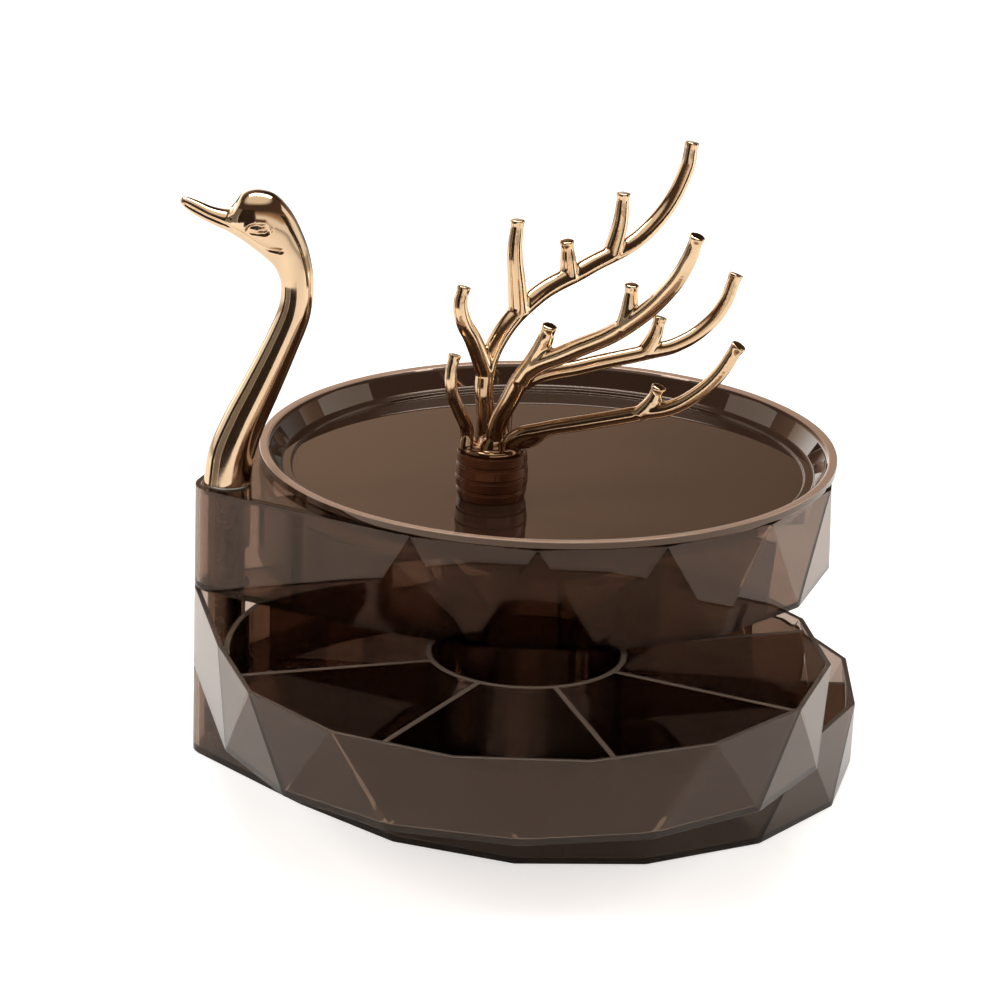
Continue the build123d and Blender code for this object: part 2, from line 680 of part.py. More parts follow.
# Threaded insert in the neck, which the bolt draws down on the tube
with BuildPart() as neck_insert:
    with Locations((post_x, 0, sleeve_top)):
        Cylinder(neck_insert_radius, neck_insert_length, align=low_align)
        Cylinder(bolt_radius + fixed_clearance, neck_insert_length, align=low_align, mode=Mode.SUBTRACT)
neck_insert.part.label = "neck_insert"
export_step(neck_insert.part, "parts/neck_insert.step")
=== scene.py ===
# %% [markdown]
# A jewellery organizer: three smoky faceted trays on one corner post, of which the upper two swing, a
# round dished lid with a small gold tree on it, and a swan's neck over the post. The moving frame comes
# from the imported solids, so every piece below is made in metres in that same frame and only has to ride
# on a body.

# %% Load the frame
import json
from math import cos, pi, radians, sin

import bmesh
import bpy
from mathutils import Matrix, Vector


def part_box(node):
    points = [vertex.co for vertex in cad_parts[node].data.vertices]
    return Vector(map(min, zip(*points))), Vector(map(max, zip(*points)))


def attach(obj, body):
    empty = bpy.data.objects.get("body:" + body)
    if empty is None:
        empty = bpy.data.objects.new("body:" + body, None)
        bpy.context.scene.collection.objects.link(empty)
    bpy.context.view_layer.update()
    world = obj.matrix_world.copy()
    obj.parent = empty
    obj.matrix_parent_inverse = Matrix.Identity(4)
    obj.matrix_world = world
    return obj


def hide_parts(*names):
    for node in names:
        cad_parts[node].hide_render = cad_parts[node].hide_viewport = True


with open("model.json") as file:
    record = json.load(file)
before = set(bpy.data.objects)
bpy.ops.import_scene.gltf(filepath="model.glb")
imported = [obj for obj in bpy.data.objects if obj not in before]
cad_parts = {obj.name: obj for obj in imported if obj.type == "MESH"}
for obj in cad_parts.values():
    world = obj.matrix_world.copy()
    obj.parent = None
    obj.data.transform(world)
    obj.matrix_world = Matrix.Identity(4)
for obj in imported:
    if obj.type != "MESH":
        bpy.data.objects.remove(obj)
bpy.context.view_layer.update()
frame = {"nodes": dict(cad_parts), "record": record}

MM = 0.001

# %% [markdown]
# The photograph was taken with a long lens from about 19 degrees above the table, so the trays' ellipses
# are narrow and hardly change from front to back. The camera stands at the measured place and is given
# its three directions one by one, because it was also held very slightly rolled.

# %% Set up the camera
camera_place = Vector((-54.9, -1690.5, 669.0)) * MM
camera_pitch, camera_yaw, camera_roll = radians(18.838), radians(1.06), radians(1.6546)
level_forward = Vector((sin(camera_yaw), cos(camera_yaw), 0))
forward = level_forward * cos(camera_pitch) - Vector((0, 0, sin(camera_pitch)))
level_right = Vector((cos(camera_yaw), -sin(camera_yaw), 0))
level_up = level_right.cross(forward)
right = level_right * cos(camera_roll) + level_up * sin(camera_roll)
up = level_up * cos(camera_roll) - level_right * sin(camera_roll)

camera = bpy.data.objects.new("camera", bpy.data.cameras.new("camera"))
bpy.context.scene.collection.objects.link(camera)
camera.data.lens = 189.48
camera.data.sensor_width = 36
camera.data.sensor_fit = "HORIZONTAL"
camera.data.clip_end = 20
camera.matrix_world = Matrix.Translation(camera_place) @ Matrix((right, up, -forward)).transposed().to_4x4()
bpy.context.scene.camera = camera
print("camera", round(camera.data.lens, 1), "mm lens at", [round(value, 2) for value in camera_place])

# %% [markdown]
# A few small helpers save repeating the same lines. A finish is a material with its main shader and
# its node tree at hand; `speckle` adds a noise texture in the object's own coordinates, so the detail
# keeps its real size on any piece.

# %% Helpers for finishes
def finish_nodes(name):
    """A new material with its tree and its main shader."""
    material = bpy.data.materials.new(name)
    material.use_nodes = True
    tree = material.node_tree
    return material, tree, tree.nodes["Principled BSDF"]


def speckle(tree, size, detail=3.0):
    """Noise whose lumps are about size metres across."""
    place = tree.nodes.new("ShaderNodeTexCoord")
    noise = tree.nodes.new("ShaderNodeTexNoise")
    noise.inputs["Scale"].default_value = 1 / size
    noise.inputs["Detail"].default_value = detail
    tree.links.new(place.outputs["Object"], noise.inputs["Vector"])
    return noise.outputs["Fac"]


def ranged(tree, source, low, high):
    """The source, which runs about from 0.3 to 0.7, spread between two values."""
    spread = tree.nodes.new("ShaderNodeMapRange")
    spread.inputs["From Min"].default_value = 0.3
    spread.inputs["From Max"].default_value = 0.7
    spread.inputs["To Min"].default_value = low
    spread.inputs["To Max"].default_value = high
    tree.links.new(source, spread.inputs["Value"])
    return spread.outputs["Result"]


def two_tone(tree, source, first, second):
    """A colour that wanders between two."""
    mix = tree.nodes.new("ShaderNodeMix")
    mix.data_type = "RGBA"
    mix.inputs["A"].default_value = (*first, 1)
    mix.inputs["B"].default_value = (*second, 1)
    tree.links.new(ranged(tree, source, 0, 1), mix.inputs["Factor"])
    return mix.outputs["Result"]


def bumps(tree, shader, source, height):
    """Small height changes in the surface, in metres."""
    bump = tree.nodes.new("ShaderNodeBump")
    bump.inputs["Strength"].default_value = 1.0
    bump.inputs["Distance"].default_value = height
    tree.links.new(source, bump.inputs["Height"])
    tree.links.new(bump.outputs["Normal"], shader.inputs["Normal"])


print("helpers ready")

# %% [markdown]
# The trays are moulded from a clear smoky plastic. One wall lets less than half of the light through and
# warms it; three or four in a row are nearly black. Part of the tint sits on the surface and part in
# the depth, so that light running along a rib or a rim, and not just across it, is swallowed. The
# dividers are tinted deeper still, and the lid hardly lets any light through but mirrors strongly.

# %% Smoky clear plastic
def smoky(name, light, dark, see_through, roughness, depth_tint, depth_strength):
    """Clear plastic: two near tints, how much light goes through, its polish and what its depth absorbs."""
    material, tree, shader = finish_nodes(name)
    tree.links.new(two_tone(tree, speckle(tree, 60 * MM, 2.0), light, dark), shader.inputs["Base Color"])
    polish = ranged(tree, speckle(tree, 60 * MM, 1.0), roughness, roughness * 1.6)
    tree.links.new(polish, shader.inputs["Roughness"])
    shader.inputs["IOR"].default_value = 1.49
    shader.inputs["Specular IOR Level"].default_value = 0.42
    shader.inputs["Specular Tint"].default_value = (1.0, 0.80, 0.68, 1)
    shader.inputs["Transmission Weight"].default_value = see_through
    if depth_strength:
        depth = tree.nodes.new("ShaderNodeVolumeAbsorption")
        depth.inputs["Color"].default_value = (*depth_tint, 1)
        depth.inputs["Density"].default_value = depth_strength
        tree.links.new(depth.outputs["Volume"], tree.nodes["Material Output"].inputs["Volume"])
    return material


depth_tint = (0.62, 0.53, 0.45)
tray_finish = smoky("smoky_tray", (0.53, 0.44, 0.39), (0.48, 0.40, 0.35), 1.0, 0.02, depth_tint, 430)
divider_finish = smoky("smoky_divider", (0.60, 0.48, 0.41), (0.54, 0.43, 0.36), 1.0, 0.02, depth_tint, 1500)
lid_finish = smoky("smoky_lid", (0.038, 0.020, 0.013), (0.028, 0.015, 0.010), 0.20, 0.02, depth_tint, 0)
lid_shader = lid_finish.node_tree.nodes["Principled BSDF"]
lid_shader.inputs["Specular IOR Level"].default_value = 0.85
lid_shader.inputs["Specular Tint"].default_value = (1.0, 0.70, 0.50, 1)
lid_shader.inputs["Coat Weight"].default_value = 0.4
lid_shader.inputs["Coat Roughness"].default_value = 0.02
print("smoky plastics:", tray_finish.name, divider_finish.name, lid_finish.name)

# %% [markdown]
# Neck and tree are plated in a pale warm gold, bright enough to mirror the studio. A metal shader
# carries that; the polish is never quite even, so its roughness wanders and a faint orange-peel bump
# softens the mirror.

# %% Gold plate
def plated(name, light, dark, roughness):
    """Bright plating: two near colours and a polish that wanders."""
    material, tree, shader = finish_nodes(name)
    tree.links.new(two_tone(tree, speckle(tree, 12 * MM, 2.0), light, dark), shader.inputs["Base Color"])
    polish = ranged(tree, speckle(tree, 3 * MM), roughness, roughness * 1.7)
    tree.links.new(polish, shader.inputs["Roughness"])
    shader.inputs["Metallic"].default_value = 1.0
    bumps(tree, shader, speckle(tree, 2.5 * MM, 2.0), 0.012 * MM)
    return material


gold_finish = plated("gold_plate", (0.85, 0.63, 0.41), (0.78, 0.56, 0.35), 0.08)
neck_finish = plated("gold_neck", (0.85, 0.64, 0.43), (0.79, 0.58, 0.38), 0.07)
steel_finish = plated("post_steel", (0.62, 0.62, 0.63), (0.52, 0.52, 0.54), 0.22)
insert_finish = plated("insert_brass", (0.76, 0.58, 0.30), (0.66, 0.48, 0.24), 0.25)
print("plated finishes:", gold_finish.name, neck_finish.name, steel_finish.name, insert_finish.name)

# %% [markdown]
# Shade is painted between the roots of the tree: low down the gold's colour is mixed towards a deep brown,
# and this painted shade fades out some way up the branches.

# %% Painted shade at the roots
crown_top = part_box("tree_crown")[1].z
root_shade_from, root_shade_to = crown_top - 2 * MM, crown_top + 34 * MM
gold_tree = gold_finish.node_tree
gold_shader = gold_tree.nodes["Principled BSDF"]
gold_place = gold_tree.nodes.new("ShaderNodeTexCoord")
gold_axes = gold_tree.nodes.new("ShaderNodeSeparateXYZ")
gold_tree.links.new(gold_place.outputs["Object"], gold_axes.inputs[0])
# Painted shade: a share that is largest low on the tree and falls to nothing higher up.
painted_shade_share = gold_tree.nodes.new("ShaderNodeMapRange")
painted_shade_share.interpolation_type = "SMOOTHSTEP"
painted_shade_share.inputs["From Min"].default_value = root_shade_from
painted_shade_share.inputs["From Max"].default_value = root_shade_to
painted_shade_share.inputs["To Min"].default_value = 0.75
painted_shade_share.inputs["To Max"].default_value = 0.0
gold_tree.links.new(gold_axes.outputs["Z"], painted_shade_share.inputs["Value"])
# Painted shade: the gold's colour is mixed towards deep brown by that share.
painted_shade_tint = gold_tree.nodes.new("ShaderNodeMix")
painted_shade_tint.data_type = "RGBA"
painted_shade_tint.inputs["B"].default_value = (0.22, 0.11, 0.06, 1)
gold_tree.links.new(painted_shade_share.outputs["Result"], painted_shade_tint.inputs["Factor"])
gold_tree.links.new(gold_shader.inputs["Base Color"].links[0].from_socket, painted_shade_tint.inputs["A"])
gold_tree.links.new(painted_shade_tint.outputs["Result"], gold_shader.inputs["Base Color"])
print("gold darkens below", round(root_shade_to / MM, 1), "mm")

# %% [markdown]
# A highlight is painted along the very top of each wall and rib, where a polished edge would mirror the
# light
# overhead: a thin strip there is less clear than the rest and paler, so it stands out against the dark
# inside and draws the fine line that shows where one compartment ends. The top tray's rim lies hidden under
# the lid and keeps the plain plastic.

# %% Painted highlights on the top edges
highlight_reach = 0.22 * MM


def painted_highlight_tops(material, heights, tint):
    """Paints a highlight on a smoky plastic: a paler, less clear strip at each of some heights, in
    millimetres.
    """
    tree = material.node_tree
    shader = tree.nodes["Principled BSDF"]
    base = shader.inputs["Base Color"].links[0].from_socket
    place = tree.nodes.new("ShaderNodeTexCoord")
    axes = tree.nodes.new("ShaderNodeSeparateXYZ")
    tree.links.new(place.outputs["Object"], axes.inputs[0])
    strips = []
    for height in heights:
        strip = tree.nodes.new("ShaderNodeMath")
        strip.operation = "COMPARE"
        strip.inputs[1].default_value = height * MM
        strip.inputs[2].default_value = highlight_reach
        tree.links.new(axes.outputs["Z"], strip.inputs[0])
        strips.append(strip)
    share = strips[0].outputs[0]
    for strip in strips[1:]:
        both = tree.nodes.new("ShaderNodeMath")
        both.operation = "MAXIMUM"
        tree.links.new(share, both.inputs[0])
        tree.links.new(strip.outputs[0], both.inputs[1])
        share = both.outputs[0]
    # Painted highlight: inside each strip the colour is mixed towards the pale tint, and less light goes
    # through.
    mix = tree.nodes.new("ShaderNodeMix")
    mix.data_type = "RGBA"
    mix.inputs["B"].default_value = (*tint, 1)
    tree.links.new(share, mix.inputs["Factor"])
    tree.links.new(base, mix.inputs["A"])
    tree.links.new(mix.outputs["Result"], shader.inputs["Base Color"])
    clear = tree.nodes.new("ShaderNodeMapRange")
    clear.inputs["To Min"].default_value = 1.0
    clear.inputs["To Max"].default_value = 0.25
    tree.links.new(share, clear.inputs["Value"])
    tree.links.new(clear.outputs["Result"], shader.inputs["Transmission Weight"])


tiers = ("base", "middle", "top")
tray_tops = [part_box(tier + "_tray")[1].z / MM for tier in tiers]
divider_tops = [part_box(tier + "_divider")[1].z / MM for tier in tiers]
print("tops of trays", [round(top, 1) for top in tray_tops])
print("tops of dividers", [round(top, 1) for top in divider_tops])
# Painted highlights along the tops of the lower two trays' walls and of all the dividers.
painted_highlight_tops(tray_finish, tray_tops[:2], (0.085, 0.066, 0.055))
painted_highlight_tops(divider_finish, divider_tops, (0.100, 0.075, 0.060))

# %% [markdown]
# The stand of the tree is a dark glossy moulding, and the washers and the plug under the base are
# plain matt plastics that hardly show.

# %% Moulded plastics
def moulded(name, light, dark, roughness):
    """Opaque moulded plastic with a fine grain."""
    material, tree, shader = finish_nodes(name)
    tree.links.new(two_tone(tree, speckle(tree, 8 * MM), light, dark), shader.inputs["Base Color"])
    polish = ranged(tree, speckle(tree, 2 * MM), roughness, roughness * 1.5)
    tree.links.new(polish, shader.inputs["Roughness"])
    bumps(tree, shader, speckle(tree, 1 * MM, 2.0), 0.01 * MM)
    return material


stand_finish = moulded("dark_stand", (0.052, 0.018, 0.008), (0.036, 0.012, 0.006), 0.06)
stand_shader = stand_finish.node_tree.nodes["Principled BSDF"]
stand_shader.inputs["Specular Tint"].default_value = (1.0, 0.58, 0.32, 1)
stand_shader.inputs["Specular IOR Level"].default_value = 0.38
washer_finish = moulded("washer_plastic", (0.80, 0.78, 0.73), (0.72, 0.70, 0.66), 0.5)
plug_finish = moulded("plug_plastic", (0.045, 0.035, 0.030), (0.030, 0.022, 0.018), 0.5)
print("moulded finishes:", stand_finish.name, washer_finish.name, plug_finish.name)

# %% [markdown]
# Every tray, divider and deck is a moulding whose edges are very slightly rounded; that fine radius is
# what draws the bright line along each facet. The solids have the right shape already, so each is
# copied, its flat faces are joined up again, and a bevel rounds its edges. The copy then replaces it.

# %% Trays, dividers and deck
def softened(node, finish, edge, sharpest):
    """A copy of a solid with rounded edges, in its place and on its body."""
    mesh = frame["nodes"][node].data.copy()
    work = bmesh.new()
    work.from_mesh(mesh)
    bmesh.ops.remove_doubles(work, verts=work.verts, dist=0.001 * MM)
    bmesh.ops.dissolve_limit(work, angle_limit=radians(0.3), verts=work.verts, edges=work.edges)
    work.to_mesh(mesh)
    work.free()
    for face in mesh.polygons:
        face.use_smooth = False
    piece = bpy.data.objects.new(node + "_moulding", mesh)
    bpy.context.scene.collection.objects.link(piece)
    rounding = piece.modifiers.new("edge_radius", "BEVEL")
    rounding.width = edge
    rounding.segments = 2
    rounding.limit_method = "ANGLE"
    rounding.angle_limit = radians(sharpest)
    rounding.harden_normals = True
    mesh.materials.clear()
    mesh.materials.append(finish)
    body = next(name for name, nodes in frame["record"]["behaviour"]["bodies"].items() if node in nodes)
    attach(piece, body)
    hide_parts(node)
    print(piece.name, len(mesh.polygons), "faces on", body)
    return piece


for tray in ("base_tray", "middle_tray", "top_tray"):
    softened(tray, tray_finish, 0.25 * MM, 11.5)
softened("tip_deck", tray_finish, 0.2 * MM, 30)
for divider in ("base_divider", "middle_divider", "top_divider"):
    softened(divider, divider_finish, 0.2 * MM, 30)

# %% [markdown]
# The lid and the stand on it are turned shapes. A profile of radius and height points is spun round its
# axis in fine steps; a fresh spin is smoother than the solid's own coarse facets, and small extra points
# beside each corner give it a rounded edge.

# %% Turned pieces
def eased(profile, ease):
    """The profile with each corner rounded by three points, and one more on each side to keep faces flat."""
    points = [Vector(point) for point in profile]
    rounded = [points[0]]
    for before, corner, after in zip(points, points[1:], points[2:]):
        back = (before - corner).normalized() * min(ease, (before - corner).length / 3)
        ahead = (after - corner).normalized() * min(ease, (after - corner).length / 3)
        rounded += [corner + back * 1.4, corner + back, corner + (back + ahead) * 0.3]
        rounded += [corner + ahead, corner + ahead * 1.4]
    rounded.append(points[-1])
    return rounded


def turned(name, profile, ease, centre, steps, finish, body):
    """A smooth piece spun from a profile of (radius, height) in millimetres round an upright axis."""
    rounded = eased(profile, ease)
    work = bmesh.new()
    rings = []
    for point in rounded:
        if point.x < 1e-6:
            rings.append([work.verts.new((centre[0] * MM, centre[1] * MM, point.y * MM))])
            continue
        ring = []
        for step in range(steps):
            turn = 2 * pi * step / steps
            x = (centre[0] + point.x * cos(turn)) * MM
            y = (centre[1] + point.x * sin(turn)) * MM
            ring.append(work.verts.new((x, y, point.y * MM)))
        rings.append(ring)
    for first, second in zip(rings, rings[1:]):
        for step in range(steps):
            corners = [first[step % len(first)], first[(step + 1) % len(first)]]
            corners += [second[(step + 1) % len(second)], second[step % len(second)]]
            distinct = list(dict.fromkeys(corners))
            if len(distinct) > 2:
                work.faces.new(distinct)
    bmesh.ops.recalc_face_normals(work, faces=work.faces)
    mesh = bpy.data.meshes.new(name)
    work.to_mesh(mesh)
    work.free()
    for face in mesh.polygons:
        face.use_smooth = True
    piece = bpy.data.objects.new(name, mesh)
    bpy.context.scene.collection.objects.link(piece)
    mesh.materials.append(finish)
    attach(piece, body)
    print(name, "turned from", len(rounded), "points")
    return piece


# %% [markdown]
# The lid is a shallow dish: a flat land round the top that rests on the tray's rim, a sloping wall, a
# narrow step and a glossy floor. Its profile repeats the solid's sizes.

# %% Lid
lid_low, lid_high = (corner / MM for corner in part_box("lid"))
lid_centre = ((lid_low.x + lid_high.x) / 2, (lid_low.y + lid_high.y) / 2)
lid_radius = (lid_high.x - lid_low.x) / 2
lid_top = lid_high.z
lid_foot = lid_low.z
lid_floor = lid_foot + 2.0
lid_step = lid_floor + 1.0
lid_rest = lid_top - 2.8
lid_profile = [
    (0, lid_foot),
    (lid_radius - 8.3, lid_foot),
    (lid_radius - 6.3, lid_step),
    (lid_radius - 3.75, lid_rest),
    (lid_radius, lid_rest),
    (lid_radius, lid_top),
    (lid_radius - 2.8, lid_top),
    (lid_radius - 4.0, lid_top - 0.9),
    (lid_radius - 7.8, lid_step),
    (lid_radius - 11.2, lid_step),
    (lid_radius - 11.2, lid_floor),
    (0, lid_floor),
]
lid = turned("lid_dish", lid_profile, 0.35, lid_centre, 240, lid_finish, "lid")
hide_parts("lid")

# %% [markdown]
# The flat land round the top of the dish looks much paler than the dish, because light comes up into it
# from the tray's wall. Two masks, of the distance from the lid's axis and of the height, give it its own
# tint and leave the lid's outer edge dark.

# %% Paler land
land_tree = lid_finish.node_tree
land_place = land_tree.nodes.new("ShaderNodeTexCoord")
from_axis = land_tree.nodes.new("ShaderNodeVectorMath")
from_axis.operation = "SUBTRACT"
from_axis.inputs[1].default_value = (lid_centre[0] * MM, lid_centre[1] * MM, 0)
land_tree.links.new(land_place.outputs["Object"], from_axis.inputs[0])
level_part = land_tree.nodes.new("ShaderNodeVectorMath")
level_part.operation = "MULTIPLY"
level_part.inputs[1].default_value = (1, 1, 0)
land_tree.links.new(from_axis.outputs["Vector"], level_part.inputs[0])
axis_distance = land_tree.nodes.new("ShaderNodeVectorMath")
axis_distance.operation = "LENGTH"
land_tree.links.new(level_part.outputs["Vector"], axis_distance.inputs[0])
land_mask = land_tree.nodes.new("ShaderNodeMapRange")
land_mask.inputs["From Min"].default_value = (lid_radius - 4.2) * MM
land_mask.inputs["From Max"].default_value = (lid_radius - 3.0) * MM
land_tree.links.new(axis_distance.outputs["Value"], land_mask.inputs["Value"])
land_axes = land_tree.nodes.new("ShaderNodeSeparateXYZ")
land_tree.links.new(land_place.outputs["Object"], land_axes.inputs[0])
land_height = land_tree.nodes.new("ShaderNodeMapRange")
land_height.inputs["From Min"].default_value = (lid_top - 0.5) * MM
land_height.inputs["From Max"].default_value = (lid_top - 0.2) * MM
land_tree.links.new(land_axes.outputs["Z"], land_height.inputs["Value"])
land_share = land_tree.nodes.new("ShaderNodeMath")
land_share.operation = "MULTIPLY"
land_tree.links.new(land_mask.outputs["Result"], land_share.inputs[0])
land_tree.links.new(land_height.outputs["Result"], land_share.inputs[1])
land_tint = land_tree.nodes.new("ShaderNodeMix")
land_tint.data_type = "RGBA"
land_tree.links.new(land_share.outputs[0], land_tint.inputs["Factor"])
land_tree.links.new(lid_shader.inputs["Base Color"].links[0].from_socket, land_tint.inputs["A"])
land_tint.inputs["B"].default_value = (0.36, 0.25, 0.19, 1)
land_tree.links.new(land_tint.outputs["Result"], lid_shader.inputs["Base Color"])
print("land from", round(lid_radius - 3, 1), "mm out")

# %% [markdown]
# The stand is a small barrel with three grooves pressed into it, open at the top, where the tree's
# crown drops in.

# %% Stand
stand_low, stand_high = (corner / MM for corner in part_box("tree_socket"))
stand_centre = ((stand_low.x + stand_high.x) / 2, (stand_low.y + stand_high.y) / 2)
stand_top = stand_high.z
groove_heights = (3.6, 8.0, 12.4)
stand_profile = [(0, lid_floor), (11.2, lid_floor)]
for height in groove_heights:
    belly = 12.5 - 0.02 * (height - 8.1) ** 2
    stand_profile += [
        (belly, lid_floor + height - 0.6),
        (belly - 0.7, lid_floor + height - 0.3),
        (belly - 0.7, lid_floor + height + 0.3),
        (belly, lid_floor + height + 0.6),
    ]
stand_profile += [(11.9, stand_top), (8.0, stand_top), (8.0, stand_top - 10.2), (0, stand_top - 10.2)]
stand = turned("tree_stand", stand_profile, 0.2, stand_centre, 96, stand_finish, "lid")
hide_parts("tree_socket")

# %% [markdown]
# The tree is a casting: every branch is a round bar that thins towards its end, flows into its
# neighbour and finishes in a small flat button. The bars are curves with a radius at each point; they
# and the crown's ring are then fused by a fine remesh, which fills the forks with a natural radius.

# %% Lines of the branches
def branch_line(angle, step, rise, points):
    """Points of a branch that stands in one upright plane, as (distance out, height) in millimetres."""
    outward = Vector((cos(radians(angle)), sin(radians(angle)), 0))
    start = Vector((stand_centre[0], stand_centre[1] + step, lid_floor + rise))
    return [(start + outward * out + Vector((0, 0, height))) * MM for out, height in points]


def root_place(x, y, height):
    """A place on the crown, from the stand's axis and the lid's floor."""
    return Vector((stand_centre[0] + x, stand_centre[1] + y, lid_floor + height)) * MM


tall, low, twig = 37.9, 21.7, -140.0
rear = (tall, 6.0, 2.0)
front = (-tall, -0.7, -0.2)
low_rear = (low, 4.0, 1.4)
low_front = (-low, -3.8, -1.3)
side = (twig, 5.3, 1.8)
rear_run = [
    (-3.4, 24.0), (-3.9, 39.0), (0.8, 50.9), (16.8, 63.8), (39.3, 70.8), (67.0, 80.3), (83.1, 99.9),
    (84.9, 108.6),
]
front_run = [
    (1.7, 25.5), (6.9, 36.2), (13.3, 46.8), (31.7, 58.4), (52.3, 70.7), (71.8, 89.2), (78.1, 99.6),
    (81.3, 108.1),
]
low_rear_run = [
    (4.3, 24.0), (5.2, 31.0), (11.0, 36.5), (32.0, 40.3), (57.5, 43.3), (67.6, 44.9), (78.6, 50.7),
    (85.1, 58.0), (89.2, 68.4),
]
low_front_run = [
    (7.3, 23.8), (18.6, 28.8), (31.6, 32.8), (54.3, 39.9), (63.7, 43.0), (71.7, 48.4), (79.4, 56.4),
    (86.3, 67.8),
]
fork_run = [(-3.9, 41.0), (-9.6, 53.4), (-14.1, 60.9), (-15.4, 67.4), (-14.0, 72.8)]
twig_run = [(11.5, 22.0), (15.2, 29.5), (18.5, 36.5), (19.2, 44.0), (17.7, 50.1)]
spur_roots = [root_place(7.8, -5.6, 16.6), root_place(7.8, -5.6, 19.6)]
branches = [
    ([root_place(-3.3, 4.5, 15.5)] + branch_line(*rear, rear_run), 3.0, 2.35, 0.6),
    (branch_line(*rear, [(10.2, 59.0), (8.8, 70.1), (7.5, 81.5), (8.4, 92.6)]), 3.7, 2.25, 0),
    (branch_line(*rear, [(32.0, 67.6), (31.0, 75.0), (30.1, 81.8)]), 3.4, 2.25, 0),
    (branch_line(*rear, [(50.0, 73.2), (53.8, 84.8), (54.7, 95.0)]), 3.3, 2.2, 0),
    (branch_line(*rear, fork_run), 3.4, 2.2, 0),
    ([root_place(0.2, -1.6, 15.5)] + branch_line(*front, front_run), 3.0, 2.35, 0.6),
    (branch_line(*front, [(11.4, 43.8), (18.8, 55.7), (21.5, 61.9), (22.7, 65.6)]), 3.6, 2.3, 0),
    (branch_line(*front, [(53.4, 70.8), (55.2, 80.0), (55.7, 86.6)]), 3.3, 2.2, 0),
    ([root_place(3.9, 4.6, 15.5)] + branch_line(*low_rear, low_rear_run), 2.6, 2.35, 0.3),
    (branch_line(*low_rear, [(55.4, 42.8), (59.4, 49.4), (61.2, 55.5)]), 3.1, 2.2, 0),
    ([root_place(4.5, -4.0, 15.5)] + branch_line(*low_front, low_front_run), 2.5, 2.35, 0.3),
    (spur_roots + branch_line(*low_front, [(14.2, 23.8), (20.0, 29.0)]), 2.1, 2.0, 0),
    (branch_line(*low_front, [(52.4, 38.7), (56.9, 44.5), (58.9, 49.7)]), 3.1, 2.2, 0),
    ([root_place(-9.2, -2.8, 16.6)] + branch_line(*side, twig_run), 2.5, 2.0, 0),
]
print(len(branches), "bars in the tree")

# %% [markdown]
# Each of the four long bars thickens a little half way, and every bar swells into its button over its
# last two or so millimetres. The curve gets one more point just short of the end for that, so the bar
# stays slim up to it.

# %% Tree
tree_curve = bpy.data.curves.new("branches", "CURVE")
tree_curve.dimensions = "3D"
tree_curve.resolution_u = 10
tree_curve.bevel_depth = 1.0
tree_curve.bevel_resolution = 6
tree_curve.use_fill_caps = True
for line, root_radius, end_radius, swell in branches:
    end = line[-1]
    neck = end + (line[-2] - end).normalized() * 2.4 * MM
    places = line[:-1] + [neck, end]
    bar = tree_curve.splines.new("BEZIER")
    bar.bezier_points.add(len(places) - 1)
    for index, (knot, place) in enumerate(zip(bar.bezier_points, places)):
        knot.co = place
        knot.handle_left_type = knot.handle_right_type = "AUTO"
        share = min(index / (len(places) - 2), 1)
        thinned = root_radius + (end_radius - root_radius) * share
        knot.radius = (thinned + 4 * swell * share * (1 - share)) * MM
    bar.bezier_points[-1].radius = (end_radius + 0.5) * MM
branch_bars = bpy.data.objects.new("branch_bars", tree_curve)
bpy.context.scene.collection.objects.link(branch_bars)
print("longest bar has", max(len(branch[0]) for branch in branches), "points")

# %% [markdown]
# The crown under the branches is a shallow cup with a round lip, on a plug that drops into the stand. It
# is drawn as a torus on a thin disc with a low mound in the middle, and the roots of the branches reach
# down into it.

# %% Crown
lip_radius, lip_thickness, lip_height = 9.4, 1.35, 17.0


def crown_shape(work):
    """Lip, disc and plug of the crown."""
    rounds, sections = 72, 16
    grid = []
    for step in range(rounds):
        turn = 2 * pi * step / rounds
        row = []
        for part in range(sections):
            around = 2 * pi * part / sections
            out = lip_radius + lip_thickness * cos(around)
            height = lip_height + lip_thickness * sin(around)
            row.append(work.verts.new(root_place(out * cos(turn), out * sin(turn), height)))
        grid.append(row)
    for step in range(rounds):
        for part in range(sections):
            nearer, further = grid[step], grid[(step + 1) % rounds]
            following = (part + 1) % sections
            work.faces.new((nearer[part], further[part], further[following], nearer[following]))
    mound = Matrix.Translation(root_place(0.8, 0.4, 17.6)) @ Matrix.Diagonal((1.0, 1.0, 0.8, 1.0))
    bmesh.ops.create_icosphere(work, subdivisions=4, radius=5.6 * MM, matrix=mound)
    for radius, thickness, height in ((9.6, 0.8, 16.6), (7.9, 9.4, 12.0)):
        place = Matrix.Translation(root_place(0, 0, height))
        wide, deep = radius * MM, thickness * MM
        bmesh.ops.create_cone(
            work, cap_ends=True, segments=64, radius1=wide, radius2=wide, depth=deep, matrix=place,
        )


print("lip of the crown", round(2 * (lip_radius + lip_thickness), 1), "mm across")

# %% [markdown]
# Bars and crown become one mesh, and a remesh in fine cells fuses them into a single skin. Relaxing the
# skin takes the steps out of it and leaves a soft web in each fork, as molten metal does. The roots run
# together in the cup, and the two outer ones grow out of its lip.

# %% Casting
def joined_mesh(name, curve_object, extra):
    """One mesh of a curve's bars and of what extra adds to it."""
    shapes = bpy.context.evaluated_depsgraph_get()
    bars = bpy.data.meshes.new_from_object(curve_object.evaluated_get(shapes))
    work = bmesh.new()
    work.from_mesh(bars)
    extra(work)
    mesh = bpy.data.meshes.new(name)
    work.to_mesh(mesh)
    work.free()
    bpy.data.meshes.remove(bars)
    bpy.data.objects.remove(curve_object)
    return mesh


